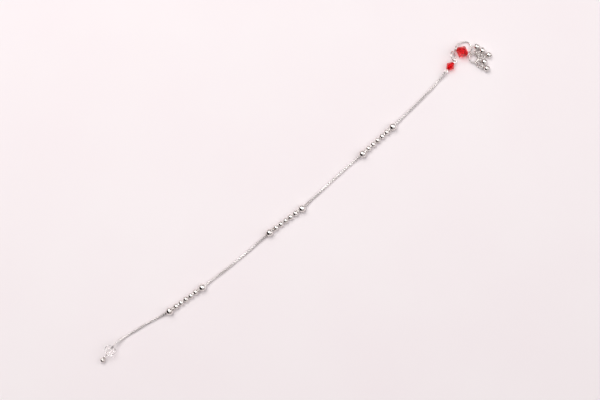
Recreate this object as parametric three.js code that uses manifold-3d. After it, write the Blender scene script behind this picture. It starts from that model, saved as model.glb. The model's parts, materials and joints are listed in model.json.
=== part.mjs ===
// A slim silver payal anklet, lying open on a flat surface: a fine chain with three groups of round beads,
// a clear crystal and a small ball at one end, and at the other a red crystal, a hoop that carries a larger
// red crystal, and a bunch of ghungroo bells on jump rings. Millimetres, +Z up, the surface at z = 0.

import * as THREE from 'three';
import { mergeVertices } from 'three/addons/utils/BufferGeometryUtils.js';
import Module from 'manifold-3d';

const wasm = await Module();
wasm.setup();

// ---- driving dimensions ----------------------------------------------------------------------------------
const CHAIN_D = 1.3;
const CHAIN_SIDES = 8;
const CHAIN_STEP = 2.9;            // length of one facet of the chain's tube
const CHAIN_REST_Z = CHAIN_D / 2 + 0.1;

const LARGE_BEAD_D = 4.0;
const SMALL_BEAD_D = 3.0;
const COLLAR_D = 2.3;
const COLLAR_LENGTH = 0.8;
const LARGE_BEAD_BORE_D = 2.15;
const SMALL_BEAD_BORE_D = 1.9;
const SMALL_BEAD_PITCH = 3.08;
const SMALL_BEADS_EACH_SIDE = 2;   // on either side of the middle one of a group
const LARGE_BEAD_OFFSET = 10.4;    // from the middle of a group to the centre of its large bead
const COLLAR_OFFSET = 7.99;        // from the middle of a group to the middle of its collar

const RED_SMALL = { diameter: 4.7, length: 4.5, tip: 1.6, bore: 1.2, facets: 6 };
const RED_LARGE = { diameter: 6.7, length: 6.1, tip: 2.0, bore: 1.35, facets: 6 };
const CLEAR_CRYSTAL = { diameter: 6.0, length: 5.4, bore: 1.05, facets: 8 };

const PIN_WIRE_D = 0.5;
const RING_WIRE_D = 0.6;
const HOOP_WIRE_D = 0.65;
const JUMP_WIRE_D = 0.42;
const LINK_GAP = 0.13;             // play between two wires where one ring passes through another

const BELL_D = 3.2;
const BELL_SLIT = 0.45;
const END_BALL_D = 2.8;
const SOLDERED_LOOP_R = 0.62;      // mean radius of the loop on a bell and on the end ball
const LOOP_STANDOFF = 0.45;        // from a ball's surface to the centre of its loop

// Moves the strand so that the middle of its footprint is the origin.
const STRAND_OFFSET = new THREE.Vector3(-0.825, -4.87, 0);

// ---- where the pieces lie, along the strand (x) and across it (y) ----------------------------------------
// Headings are in degrees: of the group itself, and of the chain just before it and just after it.
const BEAD_GROUPS = [
  { name: '1', x: -72.7, y: -1.9, heading: -2.2, before: -8.8, after: -1.1 },
  { name: '2', x: -7.4, y: -1.7, heading: -1.6, before: 3.5, after: 4.4 },
  { name: '3', x: 55.2, y: 1.55, heading: 3.8, before: 2.8, after: 5.7 },
];

// Points that the chain passes between the bead groups, lying on the surface.
const CHAIN_REST_POINTS = [
  [{ x: -109.0, y: 2.2 }, { x: -103.5, y: 1.5 }, { x: -97.4, y: 0.85 }],
  [{ x: -46.8, y: -2.6 }, { x: -30.6, y: -2.2 }],
  [{ x: 19.7, y: -0.7 }, { x: 32.5, y: 0.25 }],
  [{ x: 82.2, y: 3.95 }, { x: 93.8, y: 5.4 }, { x: 98.9, y: 6.38 }],
];

// Height of the chain beside a bead group, by distance from the centre of its large bead.
const LEAD_PROFILE = [
  { out: 8.8, z: CHAIN_REST_Z },
  { out: 6.0, z: 0.8 },
  { out: 3.0, z: 1.36 },
  { out: 0, z: LARGE_BEAD_D / 2 },
];
const SMALL_BEAD_RUN = { halfLength: 6.2, endZ: 1.62, middleZ: SMALL_BEAD_D / 2 + 0.03 };

const SMALL_CRYSTAL = { x: 108.0, y: 8.48, z: 2.07, heading: 12 };
const LARGE_CRYSTAL = { x: 117.2, y: 10.6, z: 2.94, heading: -65, dip: 22 };
const CLEAR_PLACE = { x: -119.4, y: 1.45, z: 2.95, heading: 14 };

// ---- materials -------------------------------------------------------------------------------------------
const silver = new THREE.MeshStandardMaterial({ color: 0xd9d6d2, metalness: 1, roughness: 0.18 });
const redGlass = new THREE.MeshStandardMaterial({ color: 0xb5121f, metalness: 0, roughness: 0.05 });
const clearGlass = new THREE.MeshStandardMaterial({ color: 0xe9eeea, metalness: 0, roughness: 0.04 });

// ---- helpers ---------------------------------------------------------------------------------------------
const radians = THREE.MathUtils.degToRad;
const UP = new THREE.Vector3(0, 0, 1);

const strand = new THREE.Group();
strand.position.copy(STRAND_OFFSET);

function heading(degrees, pitch = 0) {
  const flat = Math.cos(radians(pitch));
  return new THREE.Vector3(
    Math.cos(radians(degrees)) * flat,
    Math.sin(radians(degrees)) * flat,
    Math.sin(radians(pitch)),
  );
}

// Adds one piece, with its local x along xAxis and its local z as near to zHint as that allows.
function place(name, geometry, material, centre, xAxis, zHint = UP) {
  const x = xAxis.clone().normalize();
  const y = zHint.clone().cross(x).normalize();
  const z = x.clone().cross(y);
  const mesh = new THREE.Mesh(geometry, material);
  mesh.name = name;
  mesh.quaternion.setFromRotationMatrix(new THREE.Matrix4().makeBasis(x, y, z));
  mesh.position.copy(centre);
  strand.add(mesh);
  return mesh;
}

// A unit vector across axis, upright and then turned by lean degrees about it.
function leaning(axis, lean) {
  const side = UP.clone().cross(axis).normalize();
  return side.applyAxisAngle(axis.clone().normalize(), radians(lean));
}

function polygon(radius, sides) {
  const shape = new THREE.Shape();
  for (let i = 0; i < sides; i++) {
    const angle = (i + 0.5) * 2 * Math.PI / sides;
    const point = [radius * Math.cos(angle), radius * Math.sin(angle)];
    if (i === 0) shape.moveTo(...point);
    else shape.lineTo(...point);
  }
  return shape;
}

// A round wire of open ends along a curve.
function wire(curve, diameter, sides, steps) {
  const options = { steps, bevelEnabled: false, extrudePath: curve };
  return new THREE.ExtrudeGeometry(polygon(diameter / 2, sides), options);
}

// A closed loop of wire whose centre line is a flat outline in the local xy plane.
function wireLoop(outline, diameter, sides) {
  const count = outline.length;
  const positions = [];
  const indices = [];
  for (let i = 0; i < count; i++) {
    const before = outline[(i + count - 1) % count];
    const after = outline[(i + 1) % count];
    const outward = new THREE.Vector2(after.y - before.y, before.x - after.x).normalize();
    for (let j = 0; j < sides; j++) {
      const angle = j * 2 * Math.PI / sides;
      const out = Math.cos(angle) * diameter / 2;
      const up = Math.sin(angle) * diameter / 2;
      positions.push(outline[i].x + outward.x * out, outline[i].y + outward.y * out, up);
      const next = (j + 1) % sides;
      const row = i * sides;
      const nextRow = ((i + 1) % count) * sides;
      indices.push(row + j, nextRow + j, nextRow + next);
      indices.push(row + j, nextRow + next, row + next);
    }
  }
  const geometry = new THREE.BufferGeometry();
  geometry.setAttribute('position', new THREE.Float32BufferAttribute(positions, 3));
  geometry.setIndex(indices);
  return geometry;
}

function ellipse(halfLength, halfWidth, count) {
  const points = [];
  for (let i = 0; i < count; i++) {
    const angle = i * 2 * Math.PI / count;
    points.push(new THREE.Vector2(halfLength * Math.cos(angle), halfWidth * Math.sin(angle)));
  }
  return points;
}

// A body of revolution about the local x axis, from half-profile points [x, radius] that close on themselves.
function turned(profile, segments) {
  const points = profile.map(([x, radius]) => new THREE.Vector2(radius, x));
  points.push(points[0].clone());
  return new THREE.LatheGeometry(points, segments).rotateZ(-Math.PI / 2);
}

function toSolid(geometry) {
  const bare = geometry.clone();
  bare.deleteAttribute('normal');
  bare.deleteAttribute('uv');
  const merged = mergeVertices(bare, 1e-5);
  const vertProperties = new Float32Array(merged.attributes.position.array);
  const triVerts = new Uint32Array(merged.index.array);
  return new wasm.Manifold(new wasm.Mesh({ numProp: 3, vertProperties, triVerts }));
}

function fromSolid(solid) {
  const mesh = solid.getMesh();
  const geometry = new THREE.BufferGeometry();
  geometry.setAttribute('position', new THREE.BufferAttribute(mesh.vertProperties, 3));
  geometry.setIndex(new THREE.BufferAttribute(mesh.triVerts, 1));
  return geometry;
}

// ---- shapes ----------------------------------------------------------------------------------------------

// A round bead, bored along its local x axis.
function roundBead(diameter, boreD, segments, rows) {
  const radius = diameter / 2;
  const bore = boreD / 2;
  const start = Math.asin(bore / radius);
  const profile = [];
  for (let i = 0; i <= rows; i++) {
    const angle = start + (Math.PI - 2 * start) * i / rows;
    profile.push([radius * Math.cos(angle), radius * Math.sin(angle)]);
  }
  return turned(profile.reverse(), segments);
}

const largeBead = () => roundBead(LARGE_BEAD_D, LARGE_BEAD_BORE_D, 14, 8);
const smallBead = () => roundBead(SMALL_BEAD_D, SMALL_BEAD_BORE_D, 10, 6);

function collar() {
  const half = COLLAR_LENGTH / 2;
  const bore = SMALL_BEAD_BORE_D / 2;
  const outer = COLLAR_D / 2;
  return turned([[-half, bore], [-half, outer], [half, outer], [half, bore]], 12);
}

// A double cone of flat facets with cut-off tips, bored along its local x axis.
function bicone({ diameter, length, tip, bore, facets }) {
  const end = length / 2;
  const profile = [[-end, bore / 2], [-end, tip / 2], [0, diameter / 2], [end, tip / 2], [end, bore / 2]];
  return turned(profile, facets);
}

// A rounded crystal with three rows of facets on either side, bored along its local x axis.
function facetedRound({ diameter, length, bore, facets }) {
  const end = length / 2;
  const radius = diameter / 2;
  const profile = [
    [-end, bore / 2],
    [-end, radius * 0.42],
    [-end * 0.68, radius * 0.8],
    [-end * 0.26, radius],
    [end * 0.26, radius],
    [end * 0.68, radius * 0.8],
    [end, radius * 0.42],
    [end, bore / 2],
  ];
  return turned(profile, facets);
}

// Centre line of an eye bent in the end of a pin, from the pin out to the eye and round it.
function eyePoints(eyeX, eyeR, side) {
  const points = [];
  const first = 215;
  const last = 482;
  const count = 9;
  for (let i = 0; i <= count; i++) {
    const angle = radians(first + (last - first) * i / count);
    points.push(new THREE.Vector3(side * (eyeX + eyeR * Math.cos(angle)), eyeR * Math.sin(angle), 0));
  }
  return points;
}

// A straight wire along local x with an eye at each end, in the local xy plane.
function eyePin(halfBody, eyeA, eyeB) {
  const path = [
    ...eyePoints(eyeA.x, eyeA.r, -1).reverse(),
    new THREE.Vector3(-halfBody, 0, 0),
    new THREE.Vector3(0, 0, 0),
    new THREE.Vector3(halfBody, 0, 0),
    ...eyePoints(eyeB.x, eyeB.r, 1),
  ];
  return wire(new THREE.CatmullRomCurve3(path), PIN_WIRE_D, 6, 46);
}

// A ball with a wire loop soldered to it, the ball's centre at the origin and the loop towards local -x.
function loopedBall(diameter, slit) {
  const loopX = diameter / 2 + LOOP_STANDOFF;
  const ball = toSolid(new THREE.SphereGeometry(diameter / 2, 14, 8));
  const loop = toSolid(
    wireLoop(ellipse(SOLDERED_LOOP_R, SOLDERED_LOOP_R, 14), JUMP_WIRE_D, 6).translate(-loopX, 0, 0),
  );
  let solid = ball.add(loop);
  if (slit) {
    const cutter = new THREE.BoxGeometry(diameter, diameter * 2, BELL_SLIT).translate(diameter * 0.72, 0, 0);
    solid = solid.subtract(toSolid(cutter));
  }
  return fromSolid(solid);
}

// ---- the chain and what is threaded on it ----------------------------------------------------------------
function onward(start, degrees, distance, z) {
  const step = heading(degrees).multiplyScalar(distance);
  return new THREE.Vector3(start.x + step.x, start.y + step.y, z);
}

function groupPoints(group) {
  const first = onward(group, group.heading, -LARGE_BEAD_OFFSET, 0);
  const last = onward(group, group.heading, LARGE_BEAD_OFFSET, 0);
  const { halfLength, endZ, middleZ } = SMALL_BEAD_RUN;
  return [
    ...LEAD_PROFILE.map(({ out, z }) => onward(first, group.before, -out, z)),
    onward(group, group.heading, -halfLength, endZ),
    onward(group, group.heading, 0, middleZ),
    onward(group, group.heading, halfLength, endZ),
    ...LEAD_PROFILE.map(({ out, z }) => onward(last, group.after, out, z)).reverse(),
  ];
}

const PIN_EYE_R = 0.62;            // mean radius of the small eyes that take the chain
const CHAIN_TO_EYE = 1.05;         // from the centre of such an eye to the end of the chain

function crystalCentre(spot) {
  return new THREE.Vector3(spot.x, spot.y, spot.z);
}

const clearEyeX = CLEAR_CRYSTAL.length / 2 + 1.05;
const BALL_EYE = { x: CLEAR_CRYSTAL.length / 2 + 1.5, r: 0.8 };
const redEyeX = RED_SMALL.length / 2 + 1.0;

function chainCurve() {
  const first = crystalCentre(CLEAR_PLACE)
    .add(heading(CLEAR_PLACE.heading).multiplyScalar(clearEyeX + CHAIN_TO_EYE));
  const last = crystalCentre(SMALL_CRYSTAL)
    .sub(heading(SMALL_CRYSTAL.heading).multiplyScalar(redEyeX + CHAIN_TO_EYE));
  const points = [first];
  CHAIN_REST_POINTS.forEach((stretch, i) => {
    stretch.forEach(({ x, y }) => points.push(new THREE.Vector3(x, y, CHAIN_REST_Z)));
    if (i < BEAD_GROUPS.length) points.push(...groupPoints(BEAD_GROUPS[i]));
  });
  points.push(last);
  return new THREE.CatmullRomCurve3(points, false, 'centripetal');
}

const route = chainCurve();
const routeLength = route.getLength();

function addChain() {
  const steps = Math.round(routeLength / CHAIN_STEP);
  const tube = wire(route, CHAIN_D, CHAIN_SIDES, steps);
  place('chain', tube, silver, new THREE.Vector3(), new THREE.Vector3(1, 0, 0));
}

// Distance along the chain of the middle of a bead group.
function middleOf(group) {
  const target = new THREE.Vector3(group.x, group.y, SMALL_BEAD_D / 2);
  const samples = 4000;
  let best = 0;
  let nearest = Infinity;
  for (let i = 0; i <= samples; i++) {
    const distance = route.getPointAt(i / samples).distanceTo(target);
    if (distance < nearest) {
      nearest = distance;
      best = i / samples;
    }
  }
  return best * routeLength;
}

function thread(name, geometry, distance) {
  const u = distance / routeLength;
  place(name, geometry, silver, route.getPointAt(u), route.getTangentAt(u));
}

function addBeadGroup(group) {
  const middle = middleOf(group);
  for (let i = -SMALL_BEADS_EACH_SIDE; i <= SMALL_BEADS_EACH_SIDE; i++) {
    const number = i + SMALL_BEADS_EACH_SIDE + 1;
    thread(`small_bead_${group.name}_${number}`, smallBead(), middle + i * SMALL_BEAD_PITCH);
  }
  for (const [letter, side] of [['a', -1], ['b', 1]]) {
    thread(`collar_${group.name}${letter}`, collar(), middle + side * COLLAR_OFFSET);
    thread(`large_bead_${group.name}${letter}`, largeBead(), middle + side * LARGE_BEAD_OFFSET);
  }
}

// ---- the two ends ----------------------------------------------------------------------------------------
const RED_EYE_R = 0.9;

function addSmallRedCrystal() {
  const centre = crystalCentre(SMALL_CRYSTAL);
  const axis = heading(SMALL_CRYSTAL.heading);
  place('red_bicone_small', bicone(RED_SMALL).rotateX(radians(30)), redGlass, centre, axis);
  const body = RED_SMALL.length / 2;
  const pin = eyePin(body * 0.9, { x: redEyeX, r: PIN_EYE_R }, { x: redEyeX + 0.2, r: RED_EYE_R });
  place('pin_red', pin, silver, centre, axis, leaning(axis, 70));
}

function addClearEnd() {
  const centre = crystalCentre(CLEAR_PLACE);
  const axis = heading(CLEAR_PLACE.heading);
  place('clear_crystal', facetedRound(CLEAR_CRYSTAL).rotateX(radians(22.5)), clearGlass, centre, axis);
  const body = CLEAR_CRYSTAL.length / 2;
  const pin = eyePin(body * 0.92, BALL_EYE, { x: clearEyeX, r: PIN_EYE_R });
  place('pin_clear', pin, silver, centre, axis, leaning(axis, 0));
  const eyeCentre = centre.clone().sub(axis.clone().multiplyScalar(BALL_EYE.x));
  const out = heading(CLEAR_PLACE.heading + 180, -32.5);
  const between = BALL_EYE.r - (PIN_WIRE_D + JUMP_WIRE_D) / 2 - LINK_GAP;
  const reach = between + SOLDERED_LOOP_R + END_BALL_D / 2 + LOOP_STANDOFF;
  const ball = eyeCentre.add(out.clone().multiplyScalar(reach));
  place('end_ball', loopedBall(END_BALL_D, false), silver, ball, out, UP);
}

// The hoop: straight through the large crystal, then round in a bow, in its local xy plane.
const HOOP_HALF_OUTLINE = [
  [1.6, 0], [3.52, 0.02], [3.87, 0.48], [3.88, 1.7], [3.58, 3.3], [2.75, 4.95], [1.45, 6.1], [0, 6.45],
];
const HOOP_LEAN = 0.17;            // sideways shift of the bow for each millimetre of its height
const HOOP_SLACK = 0.34;           // the crystal sits this far from the middle of the hoop's straight
const hoopAxis = heading(LARGE_CRYSTAL.heading);
const hoopBow = heading(LARGE_CRYSTAL.heading + 90, -LARGE_CRYSTAL.dip);

function onHoop(along, out) {
  return crystalCentre(LARGE_CRYSTAL)
    .add(hoopAxis.clone().multiplyScalar(along - HOOP_SLACK))
    .add(hoopBow.clone().multiplyScalar(out));
}

function addHoop() {
  const right = HOOP_HALF_OUTLINE.map(([x, y]) => new THREE.Vector3(x + HOOP_LEAN * y, y, 0));
  const left = HOOP_HALF_OUTLINE.slice(0, -1).reverse().map(([x, y]) => {
    return new THREE.Vector3(-x + HOOP_LEAN * y, y, 0);
  });
  const bow = new THREE.CatmullRomCurve3([...right, ...left], true, 'centripetal');
  const outline = bow.getSpacedPoints(44).slice(0, -1).map((point) => new THREE.Vector2(point.x, point.y));
  const normal = hoopAxis.clone().cross(hoopBow);
  place('hoop', wireLoop(outline, HOOP_WIRE_D, 6), silver, onHoop(0, 0), hoopAxis, normal);
  const crystal = bicone(RED_LARGE).rotateX(radians(30));
  place('red_bicone_large', crystal, redGlass, crystalCentre(LARGE_CRYSTAL), hoopAxis);
}

// A ring whose local x axis points along pull, its plane leaning from upright by lean degrees.
function addRing(name, centre, pull, lean, halfLength, halfWidth, wireD) {
  const count = halfLength > 1.4 ? 20 : 14;
  const loop = wireLoop(ellipse(halfLength, halfWidth, count), wireD, 6);
  place(name, loop, silver, centre, pull, leaning(pull, lean));
}

const CONNECTOR = { halfLength: 2.5, halfWidth: 2.1, heading: 69, pitch: 5, lean: 144 };

function addConnectors() {
  const eye = crystalCentre(SMALL_CRYSTAL).add(heading(SMALL_CRYSTAL.heading).multiplyScalar(redEyeX + 0.2));
  const pull = heading(CONNECTOR.heading, CONNECTOR.pitch);
  const { lean, halfLength, halfWidth } = CONNECTOR;
  const centre = eye.clone().add(pull.clone().multiplyScalar(halfLength + 0.02));
  addRing('connector_ring', centre, pull, lean, halfLength, halfWidth, RING_WIRE_D);
  const across = leaning(pull, lean).cross(pull);
  const from = centre.clone()
    .add(pull.clone().multiplyScalar(halfLength * Math.SQRT1_2))
    .add(across.multiplyScalar(-halfWidth * Math.SQRT1_2));
  const to = onHoop(-3.1, 0);
  addLinkBetween('tip_ring', from, RING_WIRE_D, to, HOOP_WIRE_D, 8, 1.2, JUMP_WIRE_D);
}

// An oval jump ring that takes in the wires at two points.
function addLinkBetween(name, from, fromD, to, toD, lean, halfWidth, wireD) {
  const pull = to.clone().sub(from);
  const halfLength = (pull.length() + fromD / 2 + toD / 2 + wireD) / 2 + LINK_GAP;
  const shift = (toD - fromD) / 4;
  const middle = from.clone().add(to).multiplyScalar(0.5);
  pull.normalize();
  addRing(name, middle.add(pull.clone().multiplyScalar(shift)), pull, lean, halfLength, halfWidth, wireD);
}

// ---- the bunch of bells ----------------------------------------------------------------------------------
const BUNCH = { x: 120.25, y: 4.45, z: 1.45, radius: 2.4, rise: 8 };
const bunchCentre = new THREE.Vector3(BUNCH.x, BUNCH.y, BUNCH.z);
const bunchUphill = heading(90, BUNCH.rise);
const bunchAcross = new THREE.Vector3(1, 0, 0);

// Each bell hangs on the bunch ring at an angle round it, on jump rings of these radii and headings.
const BELLS = [
  { name: 'bell_1', around: 37, lean: 38, rings: [{ radius: 0.95, toward: 37 }] },
  { name: 'bell_2', around: 4, lean: 38, rings: [{ radius: 0.95, toward: 1 }] },
  {
    name: 'bell_3',
    around: -28,
    lean: 38,
    rings: [{ radius: 1.05, toward: -27 }, { radius: 1.15, toward: -27 }],
  },
  { name: 'bell_4', around: -64, lean: 38, rings: [{ radius: 0.95, toward: -57 }] },
  {
    name: 'bell_5',
    around: -101,
    lean: 38,
    rings: [{ radius: 1.05, toward: -92 }, { radius: 1.05, toward: -76 }, { radius: 1.05, toward: -58 }],
  },
];

function onBunch(degrees) {
  return bunchCentre.clone()
    .add(bunchAcross.clone().multiplyScalar(BUNCH.radius * Math.cos(radians(degrees))))
    .add(bunchUphill.clone().multiplyScalar(BUNCH.radius * Math.sin(radians(degrees))));
}

function addBunchRing() {
  const normal = bunchAcross.clone().cross(bunchUphill);
  const loop = wireLoop(ellipse(BUNCH.radius, BUNCH.radius, 22), RING_WIRE_D, 6);
  place('bunch_ring', loop, silver, bunchCentre, bunchAcross, normal);
  const from = onHoop(4.17, 1.7);
  addLinkBetween('hoop_link', from, HOOP_WIRE_D, onBunch(97), RING_WIRE_D, -18, 1.05, JUMP_WIRE_D);
}

// Length of a bell's string of rings, from the wire that holds it to the middle of the bell.
function reachOf(rings) {
  let reach = SOLDERED_LOOP_R + BELL_D / 2 + LOOP_STANDOFF;
  let held = RING_WIRE_D;
  for (const { radius } of rings) {
    reach += 2 * radius - (held + JUMP_WIRE_D) / 2 - LINK_GAP;
    held = JUMP_WIRE_D;
  }
  return reach - JUMP_WIRE_D - LINK_GAP;
}

function addBell({ name, around, rings, lean }) {
  const at = onBunch(around);
  const drop = BELL_D / 2 + 0.02 - at.z;
  const pitch = THREE.MathUtils.radToDeg(Math.asin(drop / reachOf(rings)));
  let held = RING_WIRE_D;
  let turn = lean;
  let out;
  rings.forEach(({ radius, toward }, i) => {
    out = heading(toward, pitch);
    const inset = (held + JUMP_WIRE_D) / 2 + LINK_GAP;
    const centre = at.clone().add(out.clone().multiplyScalar(radius - inset));
    addRing(`jump_${name}_${i + 1}`, centre, out, turn, radius, radius, JUMP_WIRE_D);
    at.copy(centre).add(out.clone().multiplyScalar(radius));
    held = JUMP_WIRE_D;
    turn += turn > 0 ? -90 : 90;
  });
  at.sub(out.clone().multiplyScalar(JUMP_WIRE_D + LINK_GAP));
  const ball = at.add(out.clone().multiplyScalar(SOLDERED_LOOP_R + BELL_D / 2 + LOOP_STANDOFF));
  place(name, loopedBall(BELL_D, true), silver, ball, out, leaning(out, turn));
}

// ---- assembly --------------------------------------------------------------------------------------------
addChain();
BEAD_GROUPS.forEach(addBeadGroup);
addSmallRedCrystal();
addClearEnd();
addHoop();
addConnectors();
addBunchRing();
BELLS.forEach(addBell);

const anklet = new THREE.Group();
anklet.add(strand);
export default anklet;
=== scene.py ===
"""The looks of the payal anklet, built round its CAD frame. Metres, +Z up, the surface at z = 0."""

import json
import math

import bmesh
import bpy
import numpy as np
from mathutils import Matrix, Vector

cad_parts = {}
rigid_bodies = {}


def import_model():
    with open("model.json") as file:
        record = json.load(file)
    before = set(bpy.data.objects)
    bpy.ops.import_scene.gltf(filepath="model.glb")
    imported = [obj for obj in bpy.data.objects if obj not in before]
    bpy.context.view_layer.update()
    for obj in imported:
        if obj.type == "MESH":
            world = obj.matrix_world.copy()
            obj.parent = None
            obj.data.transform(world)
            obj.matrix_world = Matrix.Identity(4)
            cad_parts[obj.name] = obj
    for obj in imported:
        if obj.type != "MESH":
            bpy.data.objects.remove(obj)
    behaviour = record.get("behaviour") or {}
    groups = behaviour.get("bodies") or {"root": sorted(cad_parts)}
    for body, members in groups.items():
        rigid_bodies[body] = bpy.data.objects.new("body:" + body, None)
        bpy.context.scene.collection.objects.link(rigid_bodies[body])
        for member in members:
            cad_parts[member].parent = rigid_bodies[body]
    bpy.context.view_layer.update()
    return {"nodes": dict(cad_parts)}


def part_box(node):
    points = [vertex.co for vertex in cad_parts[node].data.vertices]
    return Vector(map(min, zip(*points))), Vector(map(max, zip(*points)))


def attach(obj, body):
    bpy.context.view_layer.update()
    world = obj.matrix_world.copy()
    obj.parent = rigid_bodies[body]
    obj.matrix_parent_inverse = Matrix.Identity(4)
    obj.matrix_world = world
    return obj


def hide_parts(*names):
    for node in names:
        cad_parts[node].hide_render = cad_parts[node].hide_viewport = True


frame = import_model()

MM = 0.001
UP = Vector((0, 0, 1))

# ---- sizes, in metres --------------------------------------------------------------------------------
# Sizes that the frame's nodes don't give directly repeat the model's own driving dimensions.
CHAIN_LINK = {"side": 1.16 * MM, "wall": 0.23 * MM, "width": 0.60 * MM}
LINK_CORNER_R = 0.16 * MM           # of the strip's middle line, at a link's four corners
LINK_EDGE = 0.055 * MM              # how much is taken off the strip's edges
LINK_PLAY = 0.05 * MM               # free room between a link and the next, along the chain
CHAIN_PITCH = CHAIN_LINK["side"] - 2 * CHAIN_LINK["wall"] - LINK_PLAY
# The chain lies in two gentle waves of twist, and takes up the red end's angle over its last stretch.
SLOW_TWIST = {"degrees": 42, "wave": 96 * MM, "phase": 0.6}
QUICK_TWIST = {"degrees": 16, "wave": 37 * MM}
TWIST_END = 30 * MM
# The longer link at either end takes in a pin's eye. Its middle lies beyond the end of the chain's tube, and
# the first square link's middle lies inside it.
END_LINK = {"length": 1.5 * MM, "beyond_chain": 0.19 * MM, "first_link": 0.65 * MM}
CHAIN_BORE_R = 0.74 * MM            # bore of the small beads and collars that the chain runs through
LARGE_BORE_R = 1.0 * MM             # wider, because the chain bends where it enters a large bead
LARGE_BEAD_R = 2.0 * MM
SMALL_BEAD_R = 1.5 * MM
POLISH = 0.02 * MM                  # round pieces are finished this much under their nominal radius
LARGE_BEAD_LIP = 0.12 * MM
SMALL_BEAD_LIP = 0.09 * MM
COLLAR = {"radius": 1.15 * MM, "half_length": 0.4 * MM, "edge": 0.03 * MM}

RED_SMALL = {"radius": 2.35 * MM, "half_length": 2.25 * MM, "tip": 0.8 * MM, "bore": 0.50 * MM}
RED_LARGE = {"radius": 3.35 * MM, "half_length": 3.05 * MM, "tip": 1.0 * MM, "bore": 0.46 * MM}
CLEAR = {"radius": 3.0 * MM, "half_length": 2.7 * MM, "bore": 0.40 * MM}
# Rows of the clear crystal's corners, from its ends to its middle, as shares of its half length and radius.
# turn is the row's offset in facets.
CLEAR_ROWS = [
    {"along": 1.0, "across": 0.42, "turn": 0.5},
    {"along": 0.68, "across": 0.80, "turn": 0.0},
    {"along": 0.26, "across": 1.0, "turn": 0.5},
]
CLEAR_FACETS = 8
NARROW_FACET = 2.5                  # half the width of a bicone's narrow faces, in degrees round it
CRYSTAL_EDGE = 0.035 * MM           # how much is taken off a crystal's edges

PIN_WIRE_R = 0.25 * MM
RING_WIRE_R = 0.30 * MM
HOOP_WIRE_R = 0.325 * MM
JUMP_WIRE_R = 0.21 * MM
RING_CUT = 0.06 * MM                # the cut in a ring that was opened to hang something on
# Rings by wire radius, and where each one's cut is, in degrees round it.
RINGS = {
    "connector_ring": (RING_WIRE_R, 100),
    "bunch_ring": (RING_WIRE_R, 200),
    "tip_ring": (JUMP_WIRE_R, 75),
    "hoop_link": (JUMP_WIRE_R, 80),
}
JUMP_RING_CUT = 60

BELL_R = 1.6 * MM
BELL_WALL = 0.22 * MM
BELL_SLIT = {"width": 0.45 * MM, "from_centre": 0.704 * MM, "hole_r": 0.36 * MM}
END_BALL_R = 1.4 * MM
SOLDERED_LOOP_R = 0.62 * MM
LOOP_STANDOFF = 0.45 * MM

# Eyes of the two pins: distance of the eye's centre from the crystal's centre, and the eye's mean radius.
BALL_EYE = {"x": 4.2 * MM, "r": 0.8 * MM}
CLEAR_CHAIN_EYE = {"x": 3.75 * MM, "r": 0.62 * MM}
RED_CHAIN_EYE = {"x": 3.25 * MM, "r": 0.62 * MM}
RED_RING_EYE = {"x": 3.45 * MM, "r": 0.90 * MM}
# How far the pin's stem runs straight on either side of the crystal's centre.
CLEAR_STEM = 2.484 * MM
RED_STEM = 2.025 * MM
EYE_BEND = {"first": 215, "last": 482, "steps": 26}     # the eye's arc in degrees, from the stem round

# The hoop's line on one side, in mm: x along the crystal's bore, then the height of the bow.
HOOP_HALF_OUTLINE = [
    (1.6, 0.0), (3.52, 0.02), (3.87, 0.48), (3.88, 1.7),
    (3.58, 3.3), (2.75, 4.95), (1.45, 6.1), (0.0, 6.45),
]
HOOP_LEAN = 0.17                    # sideways shift of the hoop's bow for each unit of its height
HOOP_SLACK = 0.34 * MM              # the crystal sits this far from the middle of the hoop's straight


# ---- reading the frame -------------------------------------------------------------------------------
def points_of(node):
    """The distinct corner points of a CAD node."""
    points = np.array([v.co for v in frame["nodes"][node].data.vertices], float)
    return np.unique(points.round(7), axis=0)


def centre_of(node):
    low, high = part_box(node)
    return (low + high) / 2


def spread_axes(points):
    """The mean of some points, and the three directions that they spread along, least first."""
    mean = points.mean(axis=0)
    _, vectors = np.linalg.eigh(np.cov((points - mean).T))
    return Vector(mean), [Vector(vectors[:, i]) for i in range(3)]


def basis(centre, x_axis, z_axis):
    """The placing matrix of a piece with its local x along x_axis and its z as near z_axis as that allows."""
    x = Vector(x_axis).normalized()
    y = Vector(z_axis).cross(x).normalized()
    z = x.cross(y)
    turn = Matrix((x, y, z)).transposed()
    return Matrix.Translation(centre) @ turn.to_4x4()


class Route:
    """A smooth line through points, measured by its length."""

    def __init__(self, points, steps=24):
        ends = [2 * points[0] - points[1], *points, 2 * points[-1] - points[-2]]
        dense = []
        for before, start, end, after in zip(ends, ends[1:], ends[2:], ends[3:]):
            dense += self.span(before, start, end, after, steps)
        dense.append(points[-1])
        self.points = np.array(dense)
        gaps = np.linalg.norm(np.diff(self.points, axis=0), axis=1)
        self.distances = np.concatenate([[0], np.cumsum(gaps)])
        self.length = self.distances[-1]

    @staticmethod
    def span(before, start, end, after, steps):
        """Points of a centripetal Catmull-Rom curve from start to end."""
        pairs = ((before, start), (start, end), (end, after))
        d0, d1, d2 = (np.linalg.norm(b - a) ** 0.5 for a, b in pairs)
        lead = d1 * ((start - before) / d0 - (end - before) / (d0 + d1) + (end - start) / d1)
        tail = d1 * ((end - start) / d1 - (after - start) / (d1 + d2) + (after - end) / d2)
        square = 3 * (end - start) - 2 * lead - tail
        cube = 2 * (start - end) + lead + tail
        return [start + lead * t + square * t**2 + cube * t**3 for t in np.arange(steps) / steps]

    def at(self, distance):
        return Vector([np.interp(distance, self.distances, self.points[:, k]) for k in range(3)])

    def direction(self, distance):
        reach = 0.4 * MM
        start = max(0, distance - reach)
        return (self.at(start + 2 * reach) - self.at(start)).normalized()

    def nearest(self, place):
        offsets = np.linalg.norm(self.points - np.array(place), axis=1)
        return self.distances[offsets.argmin()]


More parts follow.
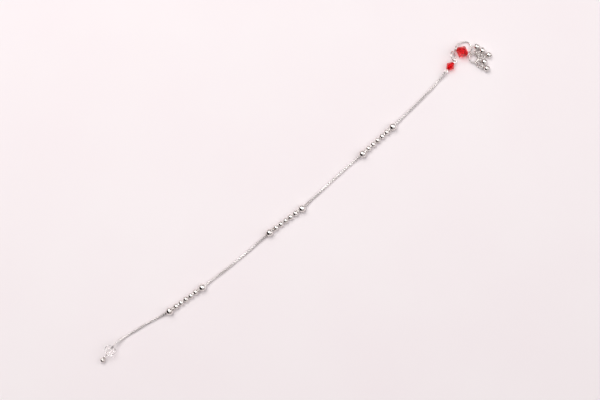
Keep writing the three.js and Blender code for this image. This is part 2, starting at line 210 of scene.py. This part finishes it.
def chain_route():
    """The centre line of the chain's tube, from the middles of the tube's rings of corners."""
    points = points_of("chain")
    points = points[points[:, 0].argsort()]
    breaks = np.where(np.diff(points[:, 0]) > 0.7 * MM)[0] + 1
    return Route([ring.mean(axis=0) for ring in np.split(points, breaks)])


# ---- materials ---------------------------------------------------------------------------------------
def new_material(name):
    material = bpy.data.materials.new(name)
    material.use_nodes = True
    nodes = material.node_tree.nodes
    return material, nodes, material.node_tree.links, nodes["Principled BSDF"]


def add_noise(nodes, links, scale, detail, distortion=0.0):
    """A noise pattern fixed to the piece. scale is in waves per metre."""
    place = nodes.new("ShaderNodeTexCoord")
    noise = nodes.new("ShaderNodeTexNoise")
    noise.inputs["Scale"].default_value = scale
    noise.inputs["Detail"].default_value = detail
    noise.inputs["Distortion"].default_value = distortion
    links.new(place.outputs["Object"], noise.inputs["Vector"])
    return noise.outputs["Fac"]


def add_ramp(nodes, links, source, stops):
    ramp = nodes.new("ShaderNodeValToRGB")
    while len(ramp.color_ramp.elements) < len(stops):
        ramp.color_ramp.elements.new(0.5)
    for element, (position, colour) in zip(ramp.color_ramp.elements, stops):
        element.position = position
        element.color = (*colour, 1)
    links.new(source, ramp.inputs["Fac"])
    return ramp.outputs["Color"]


def add_range(nodes, links, source, low, high):
    """Maps the middle of a noise pattern onto low to high."""
    scale = nodes.new("ShaderNodeMapRange")
    scale.inputs["From Min"].default_value = 0.3
    scale.inputs["From Max"].default_value = 0.7
    scale.inputs["To Min"].default_value = low
    scale.inputs["To Max"].default_value = high
    links.new(source, scale.inputs["Value"])
    return scale.outputs["Result"]


def add_bump(nodes, links, shader, source, depth, strength):
    bump = nodes.new("ShaderNodeBump")
    bump.inputs["Strength"].default_value = strength
    bump.inputs["Distance"].default_value = depth
    links.new(source, bump.inputs["Height"])
    links.new(bump.outputs["Normal"], shader.inputs["Normal"])


def silver_material(name, bright, dull, smooth, rough):
    """Polished silver, with clouds of faint tarnish and fine handling marks."""
    material, nodes, links, shader = new_material(name)
    shader.inputs["Metallic"].default_value = 1.0
    tarnish = add_noise(nodes, links, 700, 4, 0.6)
    colour = add_ramp(nodes, links, tarnish, [(0.42, bright), (0.72, dull)])
    links.new(colour, shader.inputs["Base Color"])
    polish = add_noise(nodes, links, 2400, 3)
    links.new(add_range(nodes, links, polish, smooth, rough), shader.inputs["Roughness"])
    add_bump(nodes, links, shader, add_noise(nodes, links, 9000, 2), 0.01 * MM, 0.25)
    return material


def glass_material(name, pale, deep, ior, clear, shadow):
    """Cut glass with finely lapped faces, its base colour varying in soft patches between pale and deep:
    uneven depth of colour in the red glass, painted pink and green reflection tints in the clear glass. Its
    shadow is tinted light.
    """
    material, nodes, links, shader = new_material(name)
    shader.inputs["IOR"].default_value = ior
    shader.inputs["Transmission Weight"].default_value = clear
    # Patches of the two base colours: real depth of colour in red glass, painted pink and green reflection
    # tints in clear glass.
    depth = add_noise(nodes, links, 350, 2)
    colour = add_ramp(nodes, links, depth, [(0.35, pale), (0.65, deep)])
    links.new(colour, shader.inputs["Base Color"])
    lapping = add_noise(nodes, links, 3000, 2)
    links.new(add_range(nodes, links, lapping, 0.0, 0.04), shader.inputs["Roughness"])
    light = nodes.new("ShaderNodeLightPath")
    through = nodes.new("ShaderNodeBsdfTransparent")
    through.inputs["Color"].default_value = (*shadow, 1)
    mix = nodes.new("ShaderNodeMixShader")
    links.new(light.outputs["Is Shadow Ray"], mix.inputs["Fac"])
    links.new(shader.outputs["BSDF"], mix.inputs[1])
    links.new(through.outputs["BSDF"], mix.inputs[2])
    links.new(mix.outputs["Shader"], nodes["Material Output"].inputs["Surface"])
    return material


SILVER = silver_material(
    "polished_silver", bright=(0.88, 0.85, 0.83), dull=(0.64, 0.58, 0.54), smooth=0.07, rough=0.16,
)
WIRE_SILVER = silver_material(
    "wire_silver", bright=(0.87, 0.84, 0.82), dull=(0.62, 0.56, 0.52), smooth=0.12, rough=0.24,
)
CHAIN_SILVER = silver_material(
    "chain_silver", bright=(0.86, 0.83, 0.82), dull=(0.68, 0.63, 0.61), smooth=0.26, rough=0.40,
)
RED_GLASS = glass_material(
    "red_glass", pale=(0.96, 0.018, 0.028), deep=(0.84, 0.010, 0.018), ior=1.54, clear=0.82,
    shadow=(0.68, 0.40, 0.40),
)
# The clear glass's faint pink and green patches are painted reflection tints.
CLEAR_GLASS = glass_material(
    "clear_glass", pale=(1.0, 0.955, 0.97), deep=(0.965, 1.0, 0.98), ior=1.6, clear=1.0,
    shadow=(0.62, 0.60, 0.60),
)


# ---- mesh helpers ------------------------------------------------------------------------------------
def new_mesh(name, points, faces):
    mesh = bpy.data.meshes.new(name)
    mesh.from_pydata([tuple(p) for p in points], [], faces)
    mesh.validate()
    return mesh


def shade(mesh, sharp_from):
    """Smooth shading that stays crisp at edges steeper than sharp_from degrees."""
    mesh.shade_smooth()
    mesh.set_sharp_from_angle(angle=math.radians(sharp_from))


def face_outward(mesh):
    shape = bmesh.new()
    shape.from_mesh(mesh)
    bmesh.ops.recalc_face_normals(shape, faces=shape.faces)
    if shape.calc_volume(signed=True) < 0:
        bmesh.ops.reverse_faces(shape, faces=shape.faces)
    shape.to_mesh(mesh)
    shape.free()


def add_piece(name, mesh, material, place, nodes, sharp_from=40):
    """Puts a mesh in place as a piece of the anklet that stands for its CAD nodes."""
    mesh.transform(place)
    face_outward(mesh)
    shade(mesh, sharp_from)
    mesh.materials.clear()
    mesh.materials.append(material)
    piece = bpy.data.objects.new(name, mesh)
    bpy.context.scene.collection.objects.link(piece)
    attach(piece, "root")
    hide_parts(*nodes)
    return piece


def turned(name, profile, segments):
    """A body of revolution about x from a closed profile of (x, radius) points."""
    points, faces = [], []
    count = len(profile)
    for i in range(segments):
        angle = 2 * math.pi * i / segments
        points += [(x, r * math.cos(angle), r * math.sin(angle)) for x, r in profile]
        row, following = i * count, (i + 1) % segments * count
        for j in range(count):
            k = (j + 1) % count
            faces.append((row + j, following + j, following + k, row + k))
    return new_mesh(name, points, faces)


def swept(name, path, radius, sides, closed):
    """A round wire along a path in the local xy plane, with chamfered ends where it is open."""
    path = [Vector((x, y)) for x, y in path]
    count = len(path)
    rows = []
    for i, point in enumerate(path):
        before = path[i - 1] if closed or i else point
        after = path[(i + 1) % count] if closed or i + 1 < count else point
        tangent = (after - before).normalized()
        rows.append((point, Vector((tangent.y, -tangent.x)), radius))
    if not closed:
        chamfer = 0.25 * radius
        for end, inner in ((0, 1), (-1, -2)):
            point, outward, _ = rows[end]
            inward = (rows[inner][0] - point).normalized()
            rows[end] = (point + inward * chamfer, outward, radius)
            rows.insert(0 if end == 0 else len(rows), (point, outward, 0.75 * radius))
    points, faces = [], []
    for point, outward, r in rows:
        for j in range(sides):
            angle = 2 * math.pi * j / sides
            flat = point + outward * r * math.cos(angle)
            points.append((flat.x, flat.y, r * math.sin(angle)))
    spans = len(rows) if closed else len(rows) - 1
    for i in range(spans):
        row, following = i * sides, (i + 1) % len(rows) * sides
        for j in range(sides):
            k = (j + 1) % sides
            faces.append((row + j, following + j, following + k, row + k))
    if not closed:
        faces.append(tuple(range(sides)))
        faces.append(tuple(range(len(points) - sides, len(points))))
    return new_mesh(name, points, faces)


def cut_or_join(mesh, other, operation):
    """The mesh after a boolean with another one."""
    scene = bpy.context.scene.collection.objects
    main = bpy.data.objects.new("main", mesh)
    tool = bpy.data.objects.new("tool", other)
    scene.link(main)
    scene.link(tool)
    modifier = main.modifiers.new("boolean", "BOOLEAN")
    modifier.operation = operation
    modifier.solver = "EXACT"
    modifier.object = tool
    bpy.context.view_layer.update()
    graph = bpy.context.evaluated_depsgraph_get()
    result = bpy.data.meshes.new_from_object(main.evaluated_get(graph))
    bpy.data.objects.remove(main)
    bpy.data.objects.remove(tool)
    return result


def softened(mesh, width, segments, angle):
    """The mesh with its sharp edges rounded."""
    obj = bpy.data.objects.new("softened", mesh)
    bpy.context.scene.collection.objects.link(obj)
    bevel = obj.modifiers.new("bevel", "BEVEL")
    bevel.width = width
    bevel.segments = segments
    bevel.limit_method = "ANGLE"
    bevel.angle_limit = math.radians(angle)
    bevel.harden_normals = False
    bpy.context.view_layer.update()
    graph = bpy.context.evaluated_depsgraph_get()
    result = bpy.data.meshes.new_from_object(obj.evaluated_get(graph))
    bpy.data.objects.remove(obj)
    return result


# ---- beads and chain ---------------------------------------------------------------------------------
def bead_profile(radius, bore, rim, rows):
    """Closed profile of a bored round bead whose holes have rounded lips."""
    lip = bore + rim
    start = math.asin(lip / radius)
    outer = []
    for i in range(rows + 1):
        angle = start + (math.pi - 2 * start) * i / rows
        outer.append((radius * math.cos(angle), radius * math.sin(angle)))
    edge = radius * math.cos(start)
    corner = (edge + lip * rim / edge, bore)
    inner = (edge - 1.3 * rim, bore)
    steps = 5
    lips = []
    for i in range(1, steps + 1):
        t = i / steps
        x = (1 - t) ** 2 * edge + 2 * t * (1 - t) * corner[0] + t * t * inner[0]
        r = (1 - t) ** 2 * lip + 2 * t * (1 - t) * corner[1] + t * t * inner[1]
        lips.append((x, r))
    far = [(-x, r) for x, r in lips]
    return outer + far + lips[::-1]


def collar_profile(radius, bore, half, edge):
    """Closed profile of a thin ring whose outside is a half round."""
    steps = 10
    rim = []
    for i in range(steps + 1):
        angle = math.pi * i / steps
        rim.append((half * math.cos(angle), radius - half * (1 - math.sin(angle))))
    return rim + [(-half + edge, bore), (half - edge, bore)]


def add_threaded(node, profile, segments, route):
    """A turned piece where its node is, along the chain's direction there."""
    centre = centre_of(node)
    along = route.direction(route.nearest(centre))
    mesh = turned(node, profile, segments)
    add_piece(f"{node}_silver", mesh, SILVER, basis(centre, along, UP), [node])


def add_beads(route):
    large = bead_profile(LARGE_BEAD_R - POLISH, LARGE_BORE_R, LARGE_BEAD_LIP, 30)
    small = bead_profile(SMALL_BEAD_R - POLISH, CHAIN_BORE_R, SMALL_BEAD_LIP, 26)
    washer = collar_profile(COLLAR["radius"], CHAIN_BORE_R, COLLAR["half_length"], COLLAR["edge"])
    for node in sorted(frame["nodes"]):
        if node.startswith("large_bead"):
            add_threaded(node, large, 56, route)
        elif node.startswith("small_bead"):
            add_threaded(node, small, 48, route)
        elif node.startswith("collar"):
            add_threaded(node, washer, 40, route)


def link_points(length, side, wall, width):
    """Corner points of one link, a square ring of flat strip: x along the chain, its hole along z."""
    outline = []
    for cx, cy, first in ((1, 1, 0), (-1, 1, 90), (-1, -1, 180), (1, -1, 270)):
        for step in range(4):
            angle = math.radians(first + 30 * step)
            outline.append((cx, cy, math.cos(angle), math.sin(angle)))
    soft = LINK_EDGE
    half_wall, half_width = wall / 2, width / 2
    section = [
        (half_wall, -half_width + soft), (half_wall, half_width - soft),
        (half_wall - soft, half_width), (-half_wall + soft, half_width),
        (-half_wall, half_width - soft), (-half_wall, -half_width + soft),
        (-half_wall + soft, -half_width), (half_wall - soft, -half_width),
    ]
    points = []
    for cx, cy, ox, oy in outline:
        x = cx * (length / 2 - half_wall - LINK_CORNER_R) + ox * LINK_CORNER_R
        y = cy * (side / 2 - half_wall - LINK_CORNER_R) + oy * LINK_CORNER_R
        points += [(x + ox * out, y + oy * out, z) for out, z in section]
    return points, len(outline), len(section)


def link_faces(rows, columns, first):
    faces = []
    for i in range(rows):
        for j in range(columns):
            a, b = i * columns, (i + 1) % rows * columns
            k = (j + 1) % columns
            faces.append(tuple(first + v for v in (a + j, b + j, b + k, a + k)))
    return faces


def eye_turn(pin, place):
    """The angle about a placing matrix's x at which a link stands square across a pin's eye."""
    _, axes = spread_axes(points_of(pin))
    across = place.to_3x3().inverted() @ axes[0]
    return math.atan2(across.z, across.y)


def chain_twist(share, length, last):
    """How far the chain has turned about its own line at a share of its length, in radians."""
    distance = share * length
    window = math.sin(math.pi * share)
    slow_angle = 2 * math.pi * distance / SLOW_TWIST["wave"] + SLOW_TWIST["phase"]
    slow = math.radians(SLOW_TWIST["degrees"]) * math.sin(slow_angle)
    quick = math.radians(QUICK_TWIST["degrees"]) * math.sin(2 * math.pi * distance / QUICK_TWIST["wave"])
    ramp = max(0.0, 1 - (length - distance) / TWIST_END)
    return window * (slow + quick) + last * ramp * ramp * (3 - 2 * ramp)


def add_chain(route):
    """Square box links, each turned a quarter from the last, as one joined mesh with its two end links."""
    side, wall, width = CHAIN_LINK["side"], CHAIN_LINK["wall"], CHAIN_LINK["width"]
    run = route.length - 2 * END_LINK["first_link"]
    gaps = round(run / CHAIN_PITCH)
    quarter = math.pi / 2
    ends = []
    for distance, sign, pin in ((0, -1, "pin_clear"), (route.length, 1, "pin_red")):
        along = route.direction(distance)
        centre = route.at(distance) + along * sign * END_LINK["beyond_chain"]
        place = basis(centre, along, UP)
        ends.append((place, eye_turn(pin, place)))
    last = (ends[1][1] - quarter * (gaps % 2) + quarter) % math.pi - quarter
    places = [(place @ Matrix.Rotation(turn, 4, "X"), END_LINK["length"]) for place, turn in ends]
    for i in range(gaps + 1):
        distance = END_LINK["first_link"] + run * i / gaps
        turn = chain_twist(i / gaps, run, last) + quarter * ((i + 1) % 2)
        place = basis(route.at(distance), route.direction(distance), UP)
        places.append((place @ Matrix.Rotation(turn, 4, "X"), side))
    points, faces = [], []
    for place, length in places:
        shape, rows, columns = link_points(length, side, wall, width)
        faces += link_faces(rows, columns, len(points))
        points += [place @ Vector(p) for p in shape]
    mesh = new_mesh("chain_links", points, faces)
    add_piece("chain_links", mesh, CHAIN_SILVER, Matrix.Identity(4), ["chain"], 50)


# ---- crystals ----------------------------------------------------------------------------------------
def hull(name, points):
    shape = bmesh.new()
    for point in points:
        shape.verts.new(point)
    bmesh.ops.convex_hull(shape, input=shape.verts)
    bmesh.ops.dissolve_limit(shape, angle_limit=math.radians(1), verts=shape.verts, edges=shape.edges)
    mesh = bpy.data.meshes.new(name)
    shape.to_mesh(mesh)
    shape.free()
    return mesh


def bored_crystal(name, points, bore, half_length):
    """A cut crystal with its drilled hole, and its edges just taken off."""
    reach = 1.2 * half_length
    hole = turned("hole", [(-reach, 0.0), (reach, 0.0), (reach, bore), (-reach, bore)], 20)
    shape = bmesh.new()
    shape.from_mesh(hole)
    bmesh.ops.remove_doubles(shape, verts=shape.verts, dist=1e-7)
    bmesh.ops.recalc_face_normals(shape, faces=shape.faces)
    shape.to_mesh(hole)
    shape.free()
    body = softened(hull(name, points), CRYSTAL_EDGE, 1, 8)
    return cut_or_join(body, hole, "DIFFERENCE")


def bicone_points(radius, half_length, tip):
    """Six broad faces on either side, with a narrow one between each two."""
    points = []
    narrow = math.radians(NARROW_FACET)
    cut = radius * math.cos(math.pi / 6) / math.cos(math.pi / 6 - narrow)
    for i in range(6):
        corner = math.radians(60 * i)
        for turn in (-narrow, narrow):
            points.append((0.0, cut * math.cos(corner + turn), cut * math.sin(corner + turn)))
        for x in (-half_length, half_length):
            points.append((x, tip * math.cos(corner), tip * math.sin(corner)))
    return points


def round_cut_points(radius, half_length):
    """Rows of facets set half a facet round from each other."""
    points = []
    for row in CLEAR_ROWS:
        for i in range(CLEAR_FACETS):
            angle = 2 * math.pi * (i + row["turn"]) / CLEAR_FACETS
            for side in (-1, 1):
                x = side * row["along"] * half_length
                across = row["across"] * radius
                points.append((x, across * math.cos(angle), across * math.sin(angle)))
    return points


def crystal_place(node):
    """Placing matrix of a crystal, whose corners spread most along its bore."""
    centre, axes = spread_axes(points_of(node))
    return basis(centre, axes[2], UP)


def add_crystals():
    for node, size in (("red_bicone_small", RED_SMALL), ("red_bicone_large", RED_LARGE)):
        points = bicone_points(size["radius"], size["half_length"], size["tip"])
        mesh = bored_crystal(node, points, size["bore"], size["half_length"])
        add_piece(f"{node}_glass", mesh, RED_GLASS, crystal_place(node), [node], 5)
    points = round_cut_points(CLEAR["radius"], CLEAR["half_length"])
    mesh = bored_crystal("clear_crystal", points, CLEAR["bore"], CLEAR["half_length"])
    place = crystal_place("clear_crystal")
    add_piece("clear_crystal_glass", mesh, CLEAR_GLASS, place, ["clear_crystal"], 5)


# ---- pins, rings and the hoop ------------------------------------------------------------------------
def eye_path(eye, side):
    """From the pin's stem out to an eye and round it."""
    first, last, steps = EYE_BEND["first"], EYE_BEND["last"], EYE_BEND["steps"]
    path = []
    for i in range(steps + 1):
        angle = math.radians(first + (last - first) * i / steps)
        path.append((side * (eye["x"] + eye["r"] * math.cos(angle)), eye["r"] * math.sin(angle)))
    return path


def smooth_path(corners, steps):
    """A smooth line in the plane through corner points, as evenly spaced points."""
    route = Route([np.array([x, y, 0.0]) for x, y in corners])
    return [tuple(route.at(route.length * i / steps))[:2] for i in range(steps + 1)]


def add_pin(node, crystal, left, right, stem):
    """An eye pin: a wire through a crystal with an eye bent in each end."""
    path = [*eye_path(left, -1)[::-1], (-stem, 0.0), (0.0, 0.0), (stem, 0.0), *eye_path(right, 1)]
    mesh = swept(node, smooth_path(path, 150), PIN_WIRE_R, 14, False)
    place = crystal_place(crystal)
    _, axes = spread_axes(points_of(node))
    if place.col[0].xyz.dot(Vector((1, 0, 0))) < 0:
        place = basis(place.translation, -place.col[0].xyz, UP)
    place = basis(place.translation, place.col[0].xyz, axes[0])
    add_piece(f"{node}_wire", mesh, WIRE_SILVER, place, [node], 50)


def add_ring(node, wire_r, cut_at):
    """A round or oval ring where its node is, with a fine cut at that many degrees round it."""
    points = points_of(node)
    centre, axes = spread_axes(points)
    normal, across, along = axes
    local = points - np.array(centre)
    half_length = abs(local @ np.array(along)).max() - wire_r
    half_width = abs(local @ np.array(across)).max() - wire_r
    if half_width > 0.93 * half_length:
        half_width = half_length
    steps = 56
    gap = RING_CUT / half_length
    first = math.radians(cut_at) + gap / 2
    path = []
    for i in range(steps + 1):
        angle = first + (2 * math.pi - gap) * i / steps
        path.append((half_length * math.cos(angle), half_width * math.sin(angle)))
    mesh = swept(node, path, wire_r, 16, False)
    add_piece(f"{node}_wire", mesh, WIRE_SILVER, basis(centre, along, normal), [node], 50)


def add_hoop():
    """The hoop: straight through the large crystal, then round in a bow."""
    half = [(x * MM, y * MM) for x, y in HOOP_HALF_OUTLINE]
    right = [(x + HOOP_LEAN * y, y) for x, y in half]
    left = [(-x + HOOP_LEAN * y, y) for x, y in half[-2::-1]]
    path = smooth_path([(0.0, 0.0), *right, *left, (0.0, 0.0)], 120)[:-1]
    mesh = swept("hoop", path, HOOP_WIRE_R, 18, True)
    crystal = crystal_place("red_bicone_large")
    axis = crystal.col[0].xyz
    if axis.y > 0:
        axis = -axis
    bow = spread_axes(points_of("hoop"))[0] - crystal.translation
    bow = (bow - axis * bow.dot(axis)).normalized()
    place = basis(crystal.translation - axis * HOOP_SLACK, axis, axis.cross(bow))
    add_piece("hoop_wire", mesh, WIRE_SILVER, place, ["hoop"], 50)


# ---- bells and the end ball --------------------------------------------------------------------------
def ball_mesh(name, radius, segments, rings):
    shape = bmesh.new()
    bmesh.ops.create_uvsphere(shape, u_segments=segments, v_segments=rings, radius=radius)
    bmesh.ops.rotate(shape, verts=shape.verts, matrix=Matrix.Rotation(math.pi / 2, 3, "Y"))
    mesh = bpy.data.meshes.new(name)
    shape.to_mesh(mesh)
    shape.free()
    return mesh


def box_mesh(name, low, high):
    shape = bmesh.new()
    bmesh.ops.create_cube(shape, size=1.0)
    for vertex in shape.verts:
        vertex.co = Vector(a + (b - a) * (c + 0.5) for a, b, c in zip(low, high, vertex.co))
    mesh = bpy.data.meshes.new(name)
    shape.to_mesh(mesh)
    shape.free()
    return mesh


def rod_mesh(name, radius, start, direction, length, segments):
    shape = bmesh.new()
    ends = {"radius1": radius, "radius2": radius}
    bmesh.ops.create_cone(shape, cap_ends=True, segments=segments, depth=length, **ends)
    turn = Vector(direction).to_track_quat("Z", "Y").to_matrix().to_4x4()
    place = Matrix.Translation(Vector(start) + Vector(direction).normalized() * length / 2) @ turn
    bmesh.ops.transform(shape, matrix=place, verts=shape.verts)
    mesh = bpy.data.meshes.new(name)
    shape.to_mesh(mesh)
    shape.free()
    return mesh


def loop_mesh(ball_r):
    steps = 40
    path = []
    for i in range(steps):
        angle = 2 * math.pi * i / steps
        x = SOLDERED_LOOP_R * math.cos(angle) - ball_r - LOOP_STANDOFF
        path.append((x, SOLDERED_LOOP_R * math.sin(angle)))
    mesh = swept("loop", path, JUMP_WIRE_R, 14, True)
    face_outward(mesh)
    return mesh


def bell_mesh():
    """A hollow ball with a slit across its mouth that ends in two round holes, and a soldered loop."""
    shell = ball_mesh("bell", BELL_R - POLISH, 48, 28)
    shell = cut_or_join(shell, loop_mesh(BELL_R), "UNION")
    shell = cut_or_join(shell, ball_mesh("hollow", BELL_R - BELL_WALL, 32, 20), "DIFFERENCE")
    half = BELL_SLIT["width"] / 2
    slit = box_mesh("slit", (BELL_SLIT["from_centre"], -2 * BELL_R, -half), (2 * BELL_R, 2 * BELL_R, half))
    shell = cut_or_join(shell, slit, "DIFFERENCE")
    for side in (-1, 1):
        angle = math.acos(BELL_SLIT["from_centre"] / BELL_R)
        out = (math.cos(angle), side * math.sin(angle), 0)
        hole = rod_mesh("hole", BELL_SLIT["hole_r"], (0, 0, 0), out, 2 * BELL_R, 20)
        shell = cut_or_join(shell, hole, "DIFFERENCE")
    return shell


def ball_centre(points, radius, guess):
    """Centre of the ball that many of the points lie on, from a guess, and how many points lie on it."""
    centre = np.array(guess)
    for reach in (0.3, 0.1, 0.05, 0.05):
        lengths = np.linalg.norm(points - centre, axis=1)
        near = abs(lengths - radius) < reach * MM
        outward = (points[near] - centre) / lengths[near, None]
        centre = centre + np.linalg.lstsq(outward, lengths[near] - radius, rcond=None)[0]
    return centre, near.sum()


def ball_place(node, radius):
    """Placing matrix of a looped ball: x from its loop to its far side, z across its loop."""
    points = points_of(node)
    mean, axes = spread_axes(points)
    fits = []
    for out in (axes[2], -axes[2]):
        reach = ((points - np.array(mean)) @ np.array(out)).max()
        fits.append(ball_centre(points, radius, mean + out * (reach - radius)))
    centre = max(fits, key=lambda fit: fit[1])[0]
    loop = points[np.linalg.norm(points - centre, axis=1) > radius + 0.1 * MM]
    middle, loop_axes = spread_axes(loop)
    return basis(Vector(centre), Vector(centre) - middle, loop_axes[0])


def add_bells():
    shape = bell_mesh()
    for node in sorted(frame["nodes"]):
        if node.startswith("bell_"):
            place = ball_place(node, BELL_R)
            add_piece(f"{node}_silver", shape.copy(), SILVER, place, [node], 35)
    ball = ball_mesh("end_ball", END_BALL_R - 3 * POLISH, 48, 28)
    ball = cut_or_join(ball, loop_mesh(END_BALL_R), "UNION")
    place = ball_place("end_ball", END_BALL_R)
    add_piece("end_ball_silver", ball, SILVER, place, ["end_ball"], 35)


# ---- floor, light and camera -------------------------------------------------------------------------
VIEW_CENTRE = Vector((4.062 * MM, -2.811 * MM, 0))
VIEW_TURN = math.radians(-38.1)
VIEW_WIDTH = 0.309
LENS = 75
SENSOR = 36
WORLD_STRENGTH = 1.07
# Lights, by their direction on the floor from the view's centre, as right and up in the picture.
KEY_LIGHT = {"right": -0.6, "up": 1, "distance": 0.5, "height": 0.85, "size": 0.68, "power": 6.6,
             "colour": (1.0, 0.985, 0.975)}
FILL_LIGHT = {"right": 1, "up": 0.2, "distance": 0.9, "height": 0.7, "size": 0.8, "power": 2.7,
              "colour": (0.98, 0.985, 1.0)}
# The room's brightness from straight down (0) to straight up (1).
ROOM_BANDS = [
    (0.0, (0.74, 0.70, 0.70)), (0.16, (0.26, 0.23, 0.23)), (0.5, (0.36, 0.34, 0.34)),
    (0.82, (0.78, 0.76, 0.77)), (1.0, (0.82, 0.80, 0.81)),
]
# What is left of it by how nearly a direction points at the dark side.
DARK_SIDE = [(0.0, (1.0, 1.0, 1.0)), (0.64, (0.85, 0.84, 0.84)), (0.80, (0.03, 0.026, 0.026))]
FLOOR_COLOURS = [(0.3, (0.87, 0.805, 0.82)), (0.7, (0.88, 0.828, 0.838))]
FLOOR_HALF_SIZE = 3.0


def add_floor():
    shape = bmesh.new()
    bmesh.ops.create_grid(shape, x_segments=1, y_segments=1, size=FLOOR_HALF_SIZE)
    mesh = bpy.data.meshes.new("floor")
    shape.to_mesh(mesh)
    shape.free()
    material, nodes, links, shader = new_material("floor_paper")
    shader.inputs["Roughness"].default_value = 0.85
    shader.inputs["Specular IOR Level"].default_value = 0.2
    grain = add_noise(nodes, links, 14, 3)
    links.new(add_ramp(nodes, links, grain, FLOOR_COLOURS), shader.inputs["Base Color"])
    mesh.materials.append(material)
    floor = bpy.data.objects.new("floor", mesh)
    bpy.context.scene.collection.objects.link(floor)


def image_direction(right, up):
    """A direction on the floor, from how far it points right and up in the camera's view."""
    return Vector((math.cos(VIEW_TURN) * right - math.sin(VIEW_TURN) * up,
                   math.sin(VIEW_TURN) * right + math.cos(VIEW_TURN) * up, 0)).normalized()


def add_area_light(name, facts):
    data = bpy.data.lights.new(name, "AREA")
    data.shape = "SQUARE"
    data.size = facts["size"]
    data.energy = facts["power"]
    data.color = facts["colour"]
    light = bpy.data.objects.new(name, data)
    bpy.context.scene.collection.objects.link(light)
    direction = image_direction(facts["right"], facts["up"])
    light.location = VIEW_CENTRE + direction * facts["distance"] + UP * facts["height"]
    light.rotation_euler = (VIEW_CENTRE - light.location).to_track_quat("-Z", "Y").to_euler()


def add_world():
    """A pale room with a dark band, darkest on one side, which gives polished metal its darks."""
    world = bpy.data.worlds.new("room")
    bpy.context.scene.world = world
    world.use_nodes = True
    nodes, links = world.node_tree.nodes, world.node_tree.links
    place = nodes.new("ShaderNodeTexCoord")
    split = nodes.new("ShaderNodeSeparateXYZ")
    links.new(place.outputs["Generated"], split.inputs["Vector"])
    height = add_ramp(nodes, links, split.outputs["Z"], ROOM_BANDS)
    side = nodes.new("ShaderNodeVectorMath")
    side.operation = "DOT_PRODUCT"
    side.inputs[1].default_value = (image_direction(-1, -0.6) + UP * 0.6).normalized()
    links.new(place.outputs["Generated"], side.inputs[0])
    dark_side = add_ramp(nodes, links, side.outputs["Value"], DARK_SIDE)
    product = nodes.new("ShaderNodeVectorMath")
    product.operation = "MULTIPLY"
    links.new(height, product.inputs[0])
    links.new(dark_side, product.inputs[1])
    links.new(product.outputs["Vector"], nodes["Background"].inputs["Color"])
    nodes["Background"].inputs["Strength"].default_value = WORLD_STRENGTH


def add_camera():
    data = bpy.data.cameras.new("camera")
    data.lens = LENS
    data.sensor_width = SENSOR
    data.clip_start = 0.01
    camera = bpy.data.objects.new("camera", data)
    bpy.context.scene.collection.objects.link(camera)
    camera.location = VIEW_CENTRE + UP * VIEW_WIDTH * LENS / SENSOR
    camera.rotation_euler = (0, 0, VIEW_TURN)
    bpy.context.scene.camera = camera


# ---- putting it together -----------------------------------------------------------------------------
add_camera()
add_floor()
add_world()
add_area_light("key", KEY_LIGHT)
add_area_light("fill", FILL_LIGHT)

route = chain_route()
add_chain(route)
add_beads(route)
add_crystals()
add_pin("pin_clear", "clear_crystal", BALL_EYE, CLEAR_CHAIN_EYE, CLEAR_STEM)
add_pin("pin_red", "red_bicone_small", RED_CHAIN_EYE, RED_RING_EYE, RED_STEM)
add_hoop()
for node, (wire_r, cut_at) in RINGS.items():
    add_ring(node, wire_r, cut_at)
for node in sorted(frame["nodes"]):
    if node.startswith("jump_"):
        add_ring(node, JUMP_WIRE_R, JUMP_RING_CUT)
add_bells()

bpy.context.scene.view_settings.view_transform = "Standard"
